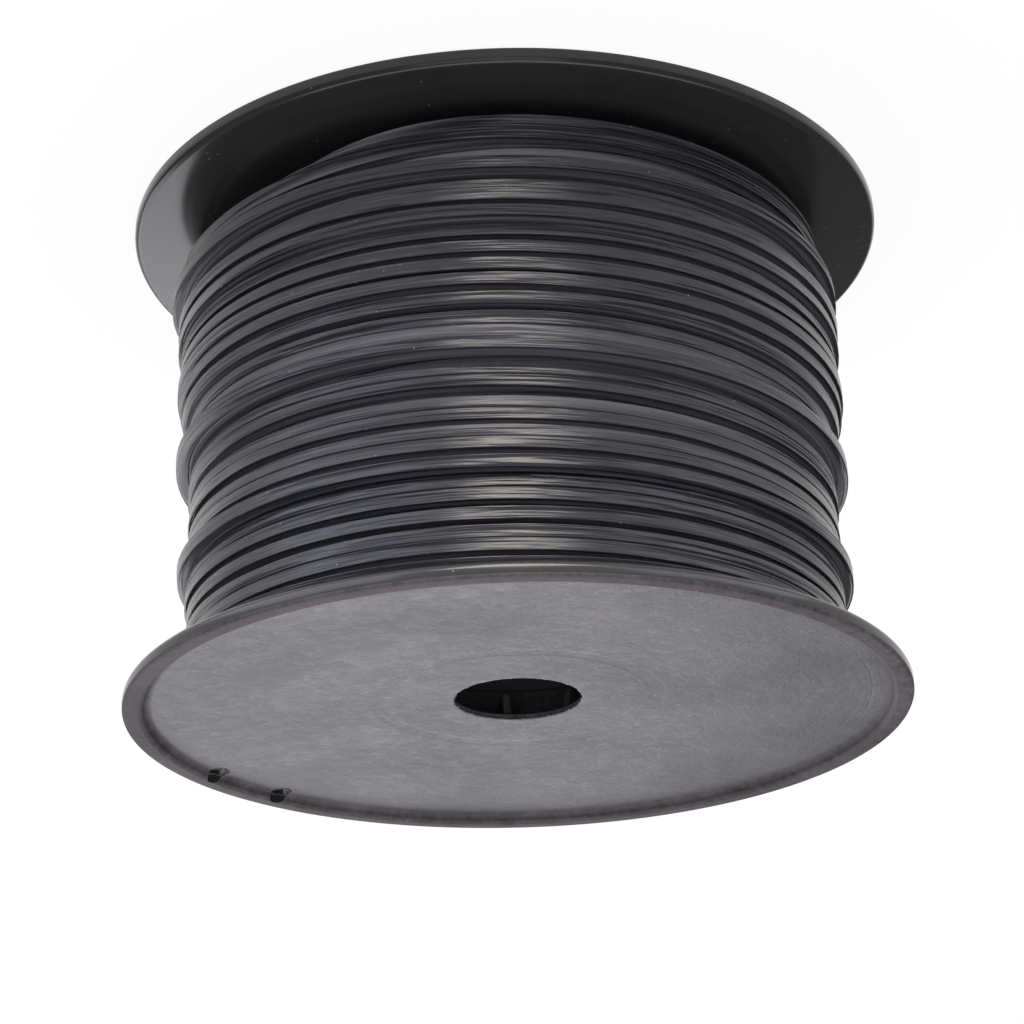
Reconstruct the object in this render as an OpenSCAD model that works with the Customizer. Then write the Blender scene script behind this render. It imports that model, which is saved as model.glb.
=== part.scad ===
// Wire spool: two moulded flanges seated on a barrel, wound with flat twin cord.
// Millimetres. The spool stands on its bottom flange, and Z is its axis.

/* [Spool] */
// Diameter of each flange
flange_d = 165; // [155:1:175]
// Clear width between the flanges at their rims
traverse = 105.6; // [102:0.1:112]
// Diameter of the arbor hole in each flange
arbor_d = 27; // [20:0.5:32]

/* [Flange] */
// Thickness of the plate
plate_t = 1.4; // [1.2:0.1:2]
// How far the flange leans out from its hub to its rim
lean = 2.2; // [0:0.1:3]
// Thickness of the rim
rim_h = 3.4; // [3.2:0.1:4]
// Width of the rim, from the edge of the outer face to the edge of the flange
rim_w = 5.8; // [5.5:0.1:7]
// How far the rise of the rim leans out from upright
rise_lean = 20; // [10:1:20]
// Rounding of the rim's edge on the winding side
edge_r = 1.5; // [1:0.1:2]
// Rounding of the rim's edge on the outer side
lip_r = 0.8; // [0.4:0.1:1.2]

/* [Tie holes] */
// Diameter of each tie hole
tie_d = 4.8; // [3:0.1:5]
// How far each tie hole's middle is in from the edge of the flange
tie_in = 5.6; // [5:0.1:7]
// Angle between the two tie holes
tie_spread = 15.4; // [10:0.1:20]

/* [Barrel and hub] */
// Outside diameter of the barrel
barrel_d = 64.5; // [60:0.5:70]
// Wall thickness of the barrel
barrel_t = 2; // [1.5:0.1:3]
// Height of the collar that locates the barrel on each flange
collar_h = 10; // [6:0.5:14]
// Wall thickness of the collar
collar_t = 2; // [1.5:0.1:2.5]
// Number of crush ribs round the collar
crush_count = 12; // [6:1:18]
// Number of stiffening ribs inside the collar
hub_rib_count = 8; // [4:1:12]
// Height of the stiffening ribs over the plate
hub_rib_h = 6; // [3:0.5:8]
// Thickness of the stiffening ribs
hub_rib_t = 1.6; // [1.2:0.1:2]

/* [Cord] */
// Width of the flat twin cord
cord_w = 5.4; // [5:0.1:5.6]
// Thickness of the flat twin cord
cord_t = 2.7; // [2.5:0.1:2.8]
// How far the rounding at each side of the cord runs in from its edge
cord_round = 0.8; // [0.6:0.1:1]
// Diameter of each copper core
core_d = 1.2; // [1:0.1:1.4]

/* [Winding] */
// Radius that the outer layer of turns is seated on
seat_r = 66.9; // [60:0.1:67.5]
// How each outer turn lies, from the bottom up: f is flat, e is on edge
turn_lay = "feeeeeeeeefefefffefe";
// Extra room over each outer turn, in half millimetres
turn_room = "80000000012000010010";
// How far the turns sway up and down on their way round
sway = 1.8; // [0:0.1:1.9]
// Part of a turn that a cord takes to roll from flat to edge
roll_share = 0.5; // [0.45:0.05:0.8]
// Bend of the cord where it climbs out of the layer below
climb_r = 30; // [25:1:40]
// Length of the cut end of the cord
cut_end_l = 8; // [6:1:12]
// How far the copper cores stand out of the cut end
core_out = 0.4; // [0.2:0.1:2]

/* [Hidden] */
$fn = 120;

moulding = "#3a393c";
inside_moulding = "#2b2a2d";
insulation = "#1d1d20";
copper = "#b8733a";

slip = 0.02;                        // clearance between pieces that seat on each other
past = 1;                           // how far a cutter runs past the wall that it cuts
arc_steps = 8;                      // straight steps in each rounding of the rim
flange_r = flange_d / 2;
inner_z = rim_h;                    // winding side of the bottom flange, at its rim
top_z = rim_h + traverse;           // winding side of the top flange, at its rim
lean_out_r = flange_r - edge_r;     // the flange leans out up to this radius
face_r = flange_r - rim_w;          // outer face, up to where the rim rises from it
barrel_in_r = barrel_d / 2 - barrel_t;
hub_r = barrel_d / 2 + 1;           // flat seat of the barrel, from which the flange leans out
barrel_l = traverse - 2 * lean;
crush_h = 0.25;                     // how far a crush rib stands off the collar
crush_w = 1.2;
crush_root = 0.2;                   // how far a crush rib is rooted in the collar
crush_lead = 2;                     // plain end of the collar that leads it into the barrel
collar_r = barrel_in_r - crush_h;   // outside radius of the collar
hub_rib_gap = 3;                    // ring left clear round the arbor hole
hub_rib_slope = 1.5;                // how far a rib's inner end slopes back
ends_angle = 53;                    // the outer layer starts and ends at this angle
climb_angle = 60;                   // arc of the climb, most of it buried in the layers below
cord_corner = 0.6;                  // rounding of the cord's corners

// ---- Flanges ----

// Points along an arc of radius r round (cx, cy), from angle a0 to a1, without its first point.
function arc(cx, cy, r, a0, a1) =
    [for (i = [1:arc_steps]) let (a = a0 + (a1 - a0) * i / arc_steps)
        [cx + r * cos(a), cy + r * sin(a)]];

// How far the winding side at radius r is set in from its place at the rim.
function set_in(r) = lean * max(0, min(1, (lean_out_r - r) / (lean_out_r - hub_r)));

// Half section of a flange. The winding side is at y = 0 by the rim, and the outer face looks up.
module flange_section() {
    turn = 90 - rise_lean;
    rise_r = (rim_h - plate_t) / 2 / (1 - cos(turn));
    crest_x = face_r + 2 * rise_r * sin(turn);
    polygon(concat(
        [[0, -lean], [hub_r, -lean], [lean_out_r, 0]],
        arc(lean_out_r, edge_r, edge_r, -90, 0), [[flange_r, rim_h - lip_r]],
        arc(flange_r - lip_r, rim_h - lip_r, lip_r, 0, 90),
        [[crest_x, rim_h]],
        arc(crest_x, rim_h - rise_r, rise_r, 90, 90 + turn),
        arc(face_r, plate_t + rise_r, rise_r, turn - 90, -90),
        [[hub_r, plate_t - lean], [0, plate_t - lean]]));
}

// Collar below z = 0, with crush ribs that grip the barrel and ribs that stiffen the hub.
module flange_hub() {
    translate([0, 0, -collar_h])
        difference() {
            cylinder(r = collar_r, h = collar_h);
            translate([0, 0, -past])
                cylinder(r = collar_r - collar_t, h = collar_h + 2 * past);
        }
    for (i = [0:crush_count - 1])
        rotate([0, 0, (i + 0.5) * 360 / crush_count])
            translate([collar_r - crush_root, -crush_w / 2, crush_lead - collar_h])
                cube([crush_root + crush_h - slip, crush_w, collar_h - crush_lead]);
    rib_in = arbor_d / 2 + hub_rib_gap;
    rib_out = collar_r - collar_t / 2;
    for (i = [0:hub_rib_count - 1])
        rotate([0, 0, i * 360 / hub_rib_count])
            rotate([90, 0, 0])
                translate([0, 0, -hub_rib_t / 2])
                    linear_extrude(hub_rib_t)
                        polygon([[rib_in, 0], [rib_in + hub_rib_slope, -hub_rib_h / 2],
                                 [rib_out, -hub_rib_h], [rib_out, 0]]);
}

// One moulded flange with its winding side at z = 0 and its outer face upwards.
module flange() {
    difference() {
        union() {
            rotate_extrude() flange_section();
            translate([0, 0, -lean]) flange_hub();
        }
        translate([0, 0, -lean - past]) cylinder(d = arbor_d, h = plate_t + 2 * past);
        for (side = [-1, 1])
            rotate([0, 0, side * tie_spread / 2])
                translate([flange_r - tie_in, 0, -past]) cylinder(d = tie_d, h = rim_h + 2 * past);
    }
}

module bottom_flange() {
    color(moulding) translate([0, 0, inner_z]) mirror([0, 0, 1]) flange();
}

module top_flange() {
    color(moulding) translate([0, 0, top_z]) flange();
}

module barrel() {
    color(inside_moulding)
        translate([0, 0, inner_z + lean])
            difference() {
                cylinder(d = barrel_d, h = barrel_l);
                translate([0, 0, -past]) cylinder(r = barrel_in_r, h = barrel_l + 2 * past);
            }
}

// ---- Where the turns of the outer layer lie ----

turns = len(turn_lay);
rings_per_turn = 24;
tube_sides = 6;
ring_step = 360 / rings_per_turn;
function half_width(k) = (turn_lay[k] == "f" ? cord_w : cord_t) / 2;
function sum_of(list, n) = n < 1 ? 0 : list[n - 1] + sum_of(list, n - 1);
half_widths = [for (k = [0:turns - 1]) half_width(k)];
rooms = [for (k = [0:turns - 1]) (ord(turn_room[k]) - ord("0")) / 2];
// The turns are in these places opposite the ends, and half a turn more at each end runs
// against the flange.
lay_z = inner_z + set_in(seat_r);
lay_w = traverse - 2 * set_in(seat_r);
first_slot = 2 * half_widths[0];
last_slot = 2 * half_widths[turns - 1];
turn_gap = (lay_w - 2 * sum_of(half_widths, turns) - (first_slot + last_slot) / 2
    - sum_of(rooms, turns)) / (turns + 2);
turn_z = [for (k = [0:turns - 1]) lay_z + (k + 1.5) * turn_gap + first_slot / 2
    + 2 * sum_of(half_widths, k) + sum_of(rooms, k) + half_widths[k]];
slot_z = concat([turn_z[0] - first_slot - turn_gap], turn_z,
                [turn_z[turns - 1] + last_slot + turn_gap]);
turn_roll = [for (k = [0:turns - 1]) turn_lay[k] == "f" ? 0 : 90];

// Places on the cord are counted in turns: 0 is the start, and turn k is in its place at k + 0.5.
function ease(x) = let (c = max(0, min(1, x))) c * c * (3 - 2 * c);
function mix(a, b, x) = a + (b - a) * x;
function sway_at(s) = sway * sin(180 * s / turns) * sin(360 * s - 180);
function path_z(s) = let (k = max(0, min(turns, floor(s + 0.5))))
    mix(slot_z[k], slot_z[k + 1], s + 0.5 - k) + sway_at(s);
function path_roll(s) = let (k = max(1, min(turns - 1, round(s))))
    mix(turn_roll[k - 1], turn_roll[k], ease((s - k) / roll_share + 0.5));
// Half the height of the rolled cord over its seat.
flat_half = cord_w / 2 - cord_round;
function half_rise(roll) = max(cord_w / 2 * sin(roll),
    cord_t / 2 * cos(roll) + flat_half * sin(roll));
function path_r(s) = seat_r + half_rise(path_roll(s));

// Corners of the cord's section as [out, up] from its middle, before it is rolled.
cord_corners = [[cord_t / 2, -flat_half], [cord_t / 2, flat_half], [0, cord_w / 2],
                [-cord_t / 2, flat_half], [-cord_t / 2, -flat_half], [0, -cord_w / 2]];
function section_at(s) = let (roll = path_roll(s), r = path_r(s), z = path_z(s))
    [for (c = cord_corners)
        [r + c[0] * cos(roll) + c[1] * sin(roll), z + c[1] * cos(roll) - c[0] * sin(roll)]];

ring_count = turns * rings_per_turn + 1;
function ring_angle(i) = ends_angle - i * ring_step;
sections = [for (i = [0:ring_count - 1]) section_at(i / rings_per_turn)];

// A section stood up at an angle round the spool, and moved along the cord by lead.
function place(section, angle, lead) =
    [for (p = section) [p[0] * cos(angle) + lead * sin(angle),
                        p[0] * sin(angle) - lead * cos(angle), p[1]]];
lead_l = cord_w;     // the tube's ends run straight for its own width
rings = concat(
    [place(sections[0], ring_angle(0), -lead_l)],
    [for (i = [0:ring_count - 1]) place(sections[i], ring_angle(i), 0)],
    [place(sections[ring_count - 1], ring_angle(ring_count - 1), lead_l)]);

// Least gap between the tube and its own next turn, measured corner to side in one half plane.
function to_side(p, a, b) = let (t = max(0, min(1, (p - a) * (b - a) / ((b - a) * (b - a)))))
    norm(p - a - t * (b - a));
function section_gap(one, two) = min([for (p = one, j = [0:tube_sides - 1])
    to_side(p, two[j], two[(j + 1) % tube_sides])]);
least_gap = min([for (i = [0:ring_count - 1 - rings_per_turn])
    min(section_gap(sections[i], sections[i + rings_per_turn]),
        section_gap(sections[i + rings_per_turn], sections[i]))]);
core_length = sum_of([for (i = [1:len(rings) - 1])
    norm((rings[i][1] + rings[i][4] - rings[i - 1][1] - rings[i - 1][4]) / 2)], len(rings) - 1);
echo(least_gap_mm = least_gap, turn_gap_mm = turn_gap, outer_layer_length_mm = core_length,
     turn_z_mm = turn_z);

// ---- Winding ----

// The chords of the outer tube dip this far, so the layers below stop short of the seat.
core_r = seat_r * cos(ring_step / 2) - slip;

// The cord climbing out of the layer below, up to where the outer layer starts.
module climb() {
    rotate([0, 0, ends_angle])
        translate([path_r(0) - climb_r, lead_l, path_z(0)])
            rotate_extrude(angle = climb_angle)
                translate([climb_r, 0]) square([cord_t, cord_w], center = true);
}

module inner_layers() {
    color(insulation)
        difference() {
            union() {
                rotate_extrude()
                    for (end = [0, 1])
                        translate([0, (inner_z + top_z) / 2])
                            mirror([0, end])
                                polygon([[0, 0], [core_r, 0],
                                         [core_r, traverse / 2 - set_in(core_r) - slip],
                                         [hub_r, barrel_l / 2 - slip], [0, barrel_l / 2 - slip]]);
                climb();
            }
            translate([0, 0, inner_z - past])
                cylinder(r = barrel_d / 2 + slip, h = traverse + 2 * past);
        }
}

module outer_layer() {
    last = len(rings) - 1;
    sides = tube_sides - 1;
    wall = [for (i = [0:last - 1], j = [0:sides])
        let (a = i * tube_sides + j, b = i * tube_sides + (j + 1) % tube_sides)
            each [[a, a + tube_sides, b], [b, a + tube_sides, b + tube_sides]]];
    start_cap = [for (j = [2:sides]) [1, j, (j + 1) % tube_sides]];
    end_cap = [for (c = start_cap) [for (j = [2:-1:0]) c[j] + last * tube_sides]];
    color(insulation)
        polyhedron(points = [for (ring = rings) each ring], faces = concat(wall, start_cap, end_cap));
}

// Moves a shape drawn along +Z to the end of the tube, with its X to the outside.
module at_tube_end() {
    rotate([0, 0, ends_angle])
        translate([path_r(turns), -lead_l, path_z(turns)])
            rotate([90, 0, 0])
                rotate([0, 0, -path_roll(turns)]) children();
}

// Section of the cord: two cores side by side, with their corners rounded.
module cord_section() {
    lobe = cord_w / 2;
    for (side = [-1, 1])
        translate([0, side * lobe / 2]) {
            square([cord_t - 2 * cord_corner, lobe], center = true);
            square([cord_t, lobe - 2 * cord_corner], center = true);
            for (x = [-1, 1], y = [-1, 1])
                translate([x * (cord_t / 2 - cord_corner), y * (lobe / 2 - cord_corner)])
                    circle(r = cord_corner, $fn = 24);
        }
}

module cut_end() {
    color(insulation)
        at_tube_end()
            linear_extrude(cut_end_l)
                difference() {
                    cord_section();
                    for (side = [-1, 1])
                        translate([0, side * cord_w / 4]) circle(d = core_d + 2 * slip, $fn = 24);
                }
}

module copper_cores() {
    color(copper)
        at_tube_end()
            for (side = [-1, 1])
                translate([0, side * cord_w / 4, slip])
                    cylinder(d = core_d, h = cut_end_l + core_out - slip, $fn = 24);
}

bottom_flange();
top_flange();
barrel();
inner_layers();
outer_layer();
cut_end();
copper_cores();
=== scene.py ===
"""Wire spool: two moulded flanges on a barrel, wound with flat twin cord."""

from __future__ import annotations

import logging
import math
from dataclasses import dataclass, field
from enum import Enum
from functools import reduce
from typing import Any, Sequence

import bpy
import numpy as np
from mathutils import Matrix, Vector


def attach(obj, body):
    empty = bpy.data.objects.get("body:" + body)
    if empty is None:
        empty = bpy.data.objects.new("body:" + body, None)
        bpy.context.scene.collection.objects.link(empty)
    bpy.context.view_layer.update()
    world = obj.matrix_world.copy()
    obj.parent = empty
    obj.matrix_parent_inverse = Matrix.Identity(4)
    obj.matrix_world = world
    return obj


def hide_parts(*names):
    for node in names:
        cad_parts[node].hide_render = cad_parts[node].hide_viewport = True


log = logging.getLogger("wire_spool")
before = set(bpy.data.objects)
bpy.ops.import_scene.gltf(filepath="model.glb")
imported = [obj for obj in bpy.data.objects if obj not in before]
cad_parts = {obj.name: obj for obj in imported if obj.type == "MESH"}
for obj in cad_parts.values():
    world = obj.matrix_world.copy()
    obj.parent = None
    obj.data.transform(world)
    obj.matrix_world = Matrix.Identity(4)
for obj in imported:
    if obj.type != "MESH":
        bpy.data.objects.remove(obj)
MM = 0.001
WELD = 1e-6
Array = np.ndarray
Point = tuple[float, float]
Span = tuple[float, float]
Colour = tuple[float, float, float, float]


def ease(x: Array) -> Array:
    """Smooth step from 0 to 1."""
    x = np.clip(x, 0.0, 1.0)
    return x * x * (3 - 2 * x)


# ---- Shader nodes ----


class Wire:
    """A shader socket that takes part in Python arithmetic."""

    def __init__(self, graph: "Graph", socket: bpy.types.NodeSocket) -> None:
        """Wraps one output socket of a graph."""
        self.graph = graph
        self.socket = socket

    def _math(self, operation: str, *values: Any) -> "Wire":
        """Adds one Math node."""
        return self.graph.node("ShaderNodeMath", {"operation": operation}, dict(enumerate(values)))

    def __add__(self, other: Any) -> "Wire":
        """self + other."""
        return self._math("ADD", self, other)

    def __sub__(self, other: Any) -> "Wire":
        """self - other."""
        return self._math("SUBTRACT", self, other)

    def __rsub__(self, other: Any) -> "Wire":
        """other - self."""
        return self._math("SUBTRACT", other, self)

    def __mul__(self, other: Any) -> "Wire":
        """self * other."""
        return self._math("MULTIPLY", self, other)

    def __pow__(self, other: Any) -> "Wire":
        """self to a power."""
        return self._math("POWER", self, other)

    __radd__ = __add__
    __rmul__ = __mul__

    def below(self, edge: float) -> "Wire":
        """1 where self is less than edge."""
        return self._math("LESS_THAN", self, edge)

    def over(self, edge: float) -> "Wire":
        """1 where self is more than edge."""
        return self._math("GREATER_THAN", self, edge)

    def size(self) -> "Wire":
        """The value without its sign."""
        return self._math("ABSOLUTE", self)

    def most(self, other: Any) -> "Wire":
        """The larger of two values."""
        return self._math("MAXIMUM", self, other)

    def band(self, low: float, high: float) -> "Wire":
        """0 at low and 1 at high, clamped, with a smooth way between."""
        return self.graph.node(
            "ShaderNodeMapRange",
            {"interpolation_type": "SMOOTHSTEP"},
            {"Value": self, "From Min": low, "From Max": high, "To Min": 0.0, "To Max": 1.0},
        )


class Graph:
    """The node graph of one material or world."""

    def __init__(self, owner: bpy.types.Material | bpy.types.World) -> None:
        """Empties the owner's node graph."""
        self.owner = owner
        owner.use_nodes = True
        self.tree = owner.node_tree
        self.tree.nodes.clear()
        self.coords = self.tree.nodes.new("ShaderNodeTexCoord")

    @classmethod
    def material(cls, name: str) -> "Graph":
        """Starts the graph of a new material."""
        return cls(bpy.data.materials.new(name))

    def node(
        self, kind: str, settings: dict[str, Any], inputs: dict[Any, Any], output: Any = 0
    ) -> Wire:
        """Adds one node.

        Args:
            kind: The node's type.
            settings: Its properties, set before its sockets.
            inputs: Values or wires by socket name or index.
            output: The socket to hand back.

        Returns:
            The wrapped output.
        """
        node = self.tree.nodes.new(kind)
        for key, value in settings.items():
            setattr(node, key, value)
        for key, value in inputs.items():
            if isinstance(value, Wire):
                self.tree.links.new(value.socket, node.inputs[key])
            else:
                node.inputs[key].default_value = value
        return Wire(self, node.outputs[output])

    def place(self, scale: Sequence[float] = (1, 1, 1), of: str = "Object") -> Wire:
        """Coordinates of the piece, stretched by a scale on each axis."""
        source = Wire(self, self.coords.outputs[of])
        return self.node("ShaderNodeMapping", {}, {"Vector": source, "Scale": scale})

    def noise(
        self,
        size: float,
        detail: float = 3.0,
        rough: float = 0.5,
        stretch: Sequence[float] = (1, 1, 1),
        of: str = "Object",
        at: Wire | None = None,
    ) -> Wire:
        """Noise from 0 to 1 with grains of about this size in metres."""
        inputs = {"Vector": at or self.place(stretch, of), "Scale": 1 / size}
        inputs |= {"Detail": detail, "Roughness": rough}
        return self.node("ShaderNodeTexNoise", {}, inputs)

    def axis(self, name: str) -> Wire:
        """One of the piece's own coordinates."""
        return self.node("ShaderNodeSeparateXYZ", {}, {0: self.place()}, output=name)

    def radius(self) -> Wire:
        """Distance from the spool's axis."""
        return (self.axis("X") ** 2 + self.axis("Y") ** 2) ** 0.5

    def join(self, x: Any, y: Any, z: Any) -> Wire:
        """A vector from three values."""
        return self.node("ShaderNodeCombineXYZ", {}, {0: x, 1: y, 2: z})

    def lines(self, size: float, width: float, stretch: Sequence[float]) -> Wire:
        """1 on thin lines, where stretched noise crosses its middle."""
        return (self.noise(size, 2, stretch=stretch) - 0.5).size().below(width)

    def ray(self, *kinds: str) -> Wire:
        """1 on light rays of any of these kinds."""
        wires = [self.node("ShaderNodeLightPath", {}, {}, f"Is {kind} Ray") for kind in kinds]
        return reduce(Wire.most, wires)

    def specks(self, apart: float, share: float) -> Wire:
        """1 on small specks that lie about this far apart, each this share of that across."""
        cells = {"Vector": self.place(), "Scale": 1 / apart}
        near = self.node("ShaderNodeTexVoronoi", {}, cells, output="Distance")
        return near.below(share) * self.noise(apart * 4, 1).over(0.5)

    def scale(self, colour: Any, by: Wire) -> Wire:
        """A colour made darker or paler by a value."""
        return self.node(
            "ShaderNodeMix",
            {"data_type": "RGBA", "blend_type": "MULTIPLY"},
            {0: 1.0, 6: colour, 7: self.join(by, by, by)},
            output=2,
        )

    def mix(self, share: Any, one: Any, two: Any) -> Wire:
        """Mixes two colours by a share."""
        return self.node(
            "ShaderNodeMix", {"data_type": "RGBA"}, {0: share, 6: one, 7: two}, output=2
        )

    def bump(self, height: Wire, depth: float) -> Wire:
        """A bump of this depth in metres."""
        inputs = {"Height": height, "Distance": depth, "Strength": 1.0}
        return self.node("ShaderNodeBump", {}, inputs)

    def plastic(self, colour: Wire, rough: Wire, normal: Wire, ior: float) -> bpy.types.Material:
        """Finishes the material as a plain plastic."""
        inputs = {"Base Color": colour, "Roughness": rough, "Normal": normal, "IOR": ior}
        return self.finish(self.node("ShaderNodeBsdfPrincipled", {}, inputs))

    def finish(self, shader: Wire, end: str = "ShaderNodeOutputMaterial") -> Any:
        """Links the shader to an output of this kind and hands back the material or world."""
        output = self.tree.nodes.new(end)
        self.tree.links.new(shader.socket, output.inputs["Surface"])
        return self.owner


def rgb(red: float, green: float, blue: float) -> Colour:
    """An opaque colour, from linear values."""
    return (red, green, blue, 1.0)


def tinted(tone: float, red: float, green: float, blue: float) -> Colour:
    """An opaque colour of this tone, with a share of it in each channel."""
    return rgb(tone * red, tone * green, tone * blue)


WHITE = rgb(1, 1, 1)


# ---- Finishes ----


@dataclass(frozen=True)
class MouldedFace:
    """Dark grey moulded plastic with a satin face, faint rings, scuffs, scratches and dust, and
    painted shade that darkens its rim.
    """

    name: str = "moulded_face"
    tone: float = 0.058
    gloss: float = 0.37
    pale: Colour = rgb(0.22, 0.215, 0.22)
    depth: float = 0.05 * MM
    rings_r: Span = (68 * MM, 76 * MM)
    # Radii over which painted shade darkens the rim
    painted_shade_rim_r: Span = (76.2 * MM, 77.5 * MM)
    sink_in: Span = (27.2 * MM, 28.5 * MM)
    sink_out: Span = (30.2 * MM, 31.8 * MM)

    def make(self) -> bpy.types.Material:
        """Builds the material."""
        g = Graph.material(self.name)
        radius = g.radius()
        cloud = g.noise(0.03, 4).band(0.3, 0.7)
        mottle = g.noise(0.004, 3).band(0.3, 0.7)
        nick = g.specks(0.017, 0.03)
        grain = g.noise(0.0006, 2)
        speckle = g.noise(0.0012, 3, 0.6).band(0.3, 0.7)
        rings = g.noise(0.0005, 2, at=g.join(radius, g.axis("Z"), 0.0))
        near_rim = radius.band(*self.rings_r)
        painted_rim_shade = radius.band(*self.painted_shade_rim_r)
        sink = radius.band(*self.sink_in) * (1 - radius.band(*self.sink_out))
        scratch = g.lines(0.004, 0.006, (0.06, 1, 1)).most(g.lines(0.003, 0.006, (1, 0.05, 1)))
        scratch = scratch * g.noise(0.012, 2).over(0.66)
        dust = g.specks(0.0035, 0.05)
        shade = 0.46 + 0.3 * cloud + 0.32 * mottle + 0.46 * speckle
        # The rim band is painted darker: painted shade for its rounded crest. It is rougher there
        # too.
        shade = shade - 0.05 * sink - 0.6 * nick - 0.36 * painted_rim_shade
        plain = tinted(self.tone, 1, 0.95, 1.08)
        # The rim's colour also shifts towards red, as part of the same painted shade.
        rim = tinted(self.tone, 1.1, 0.91, 1.08)
        dark = g.scale(g.mix(painted_rim_shade, plain, rim), shade)
        colour = g.mix((0.35 * scratch).most(0.8 * dust), dark, self.pale)
        rough = self.gloss + 0.08 * mottle + 0.06 * grain - 0.04 * cloud + 0.1 * scratch
        rough = rough + 0.12 * speckle + 0.24 * painted_rim_shade
        relief = grain * 0.6 + mottle * 1.1 + speckle * 0.5 - sink * 1.2
        relief = relief + rings * (0.3 + near_rim * 1.4)
        normal = g.bump(relief - scratch * 0.8 - nick * 4, self.depth)
        return g.plastic(colour, rough, normal, 1.5)


@dataclass(frozen=True)
class MouldedBack:
    """The same plastic where the mould was polished: glossy, and darker as painted shade on the
    faces that do not look outwards.
    """

    name: str = "moulded_back_painted_shade"
    # Darker than the face: painted shade
    tone: float = 0.02
    gloss: float = 0.13
    pale: Colour = rgb(0.16, 0.155, 0.16)
    depth: float = 0.006 * MM

    def make(self) -> bpy.types.Material:
        """Builds the material."""
        g = Graph.material(self.name)
        cloud = g.noise(0.02, 3)
        grain = g.noise(0.0008, 2)
        scratch = g.lines(0.003, 0.004, (0.05, 1, 1)) * g.noise(0.015, 2).over(0.68)
        dust = g.specks(0.004, 0.05)
        dark = g.scale(tinted(self.tone, 1, 0.98, 1.05), 0.8 + 0.4 * cloud)
        colour = g.mix((0.3 * scratch).most(0.7 * dust), dark, self.pale)
        rough = self.gloss + 0.06 * cloud + 0.04 * grain + 0.15 * scratch
        return g.plastic(colour, rough, g.bump(grain - scratch, self.depth), 1.42)


@dataclass(frozen=True)
class CordInsulation:
    """Near-black insulation with a soft gloss and fine lines drawn along it.

    Where a piece's "sunk" attribute says that the surface lies deep between the turns, its colour
    is painted paler and its gloss is duller: painted fill light in the gaps between the turns.
    """

    name: str = "cord_insulation"
    tone: float = 0.013
    painted_fill_light: float = 0.12
    gloss: float = 0.15
    pale: Colour = rgb(0.2, 0.19, 0.18)
    depth: float = 0.11 * MM
    painted_fill_depths: Span = (0.3 * MM, 1.8 * MM)

    def make(self) -> bpy.types.Material:
        """Builds the material."""
        g = Graph.material(self.name)
        cloud = g.noise(0.012, 3)
        ribs = g.noise(0.0004, 3, stretch=(0.012, 1, 1), of="UV")
        fine = g.noise(0.00013, 2, stretch=(0.004, 1, 1), of="UV")
        slow = g.noise(0.0014, 2, stretch=(0.04, 1, 1), of="UV")
        broad = g.noise(0.004, 1, stretch=(0.05, 1, 1), of="UV")
        dust = g.specks(0.0035, 0.05)
        sunk = g.node("ShaderNodeAttribute", {"attribute_name": "sunk"}, {}, "Fac")
        # Painted fill light: a paler, rougher surface where the cord lies deep between the turns.
        painted_fill_light = sunk.band(*self.painted_fill_depths) * (0.75 + 0.5 * slow)
        dark = g.scale(tinted(self.tone, 1, 0.98, 1.45), 0.75 + 0.5 * cloud)
        with_painted_fill = g.mix(painted_fill_light, dark, tinted(self.painted_fill_light, 1, 0.96, 1.14))
        colour = g.mix(0.6 * dust, with_painted_fill, self.pale)
        rough = self.gloss + 0.06 * cloud + 0.12 * slow + 0.3 * painted_fill_light
        normal = g.bump(0.45 * ribs + 0.15 * fine + 5 * slow + 14 * broad, self.depth)
        return g.plastic(colour, rough, normal, 1.42)


@dataclass(frozen=True)
class CopperStrand:
    """Bright drawn copper."""

    name: str = "copper_strand"
    dull: Colour = rgb(0.45, 0.17, 0.07)
    bright: Colour = rgb(0.75, 0.33, 0.16)

    def make(self) -> bpy.types.Material:
        """Builds the material."""
        g = Graph.material(self.name)
        cloud = g.noise(0.0012, 3)
        colour = g.mix(cloud, self.dull, self.bright)
        inputs = {"Base Color": colour, "Roughness": 0.2 + 0.15 * cloud, "Metallic": 1.0}
        return g.finish(g.node("ShaderNodeBsdfPrincipled", {}, inputs))


@dataclass(frozen=True)
class PaleFloor:
    """White floor that shows as white and keeps a share of the object's shadow."""

    name: str = "pale_floor"
    kept_shadow: float = 0.1
    pale: Colour = rgb(0.9, 0.9, 0.9)

    def make(self) -> bpy.types.Material:
        """Builds the material."""
        g = Graph.material(self.name)
        matt = g.node("ShaderNodeBsdfDiffuse", {}, {"Color": self.pale})
        glow = g.node("ShaderNodeEmission", {}, {"Color": WHITE, "Strength": 1.0})
        share = g.ray("Camera", "Glossy", "Transmission") * (1.0 - self.kept_shadow)
        return g.finish(g.node("ShaderNodeMixShader", {}, {0: share, 1: matt, 2: glow}))


# ---- Modelling bench ----


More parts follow.
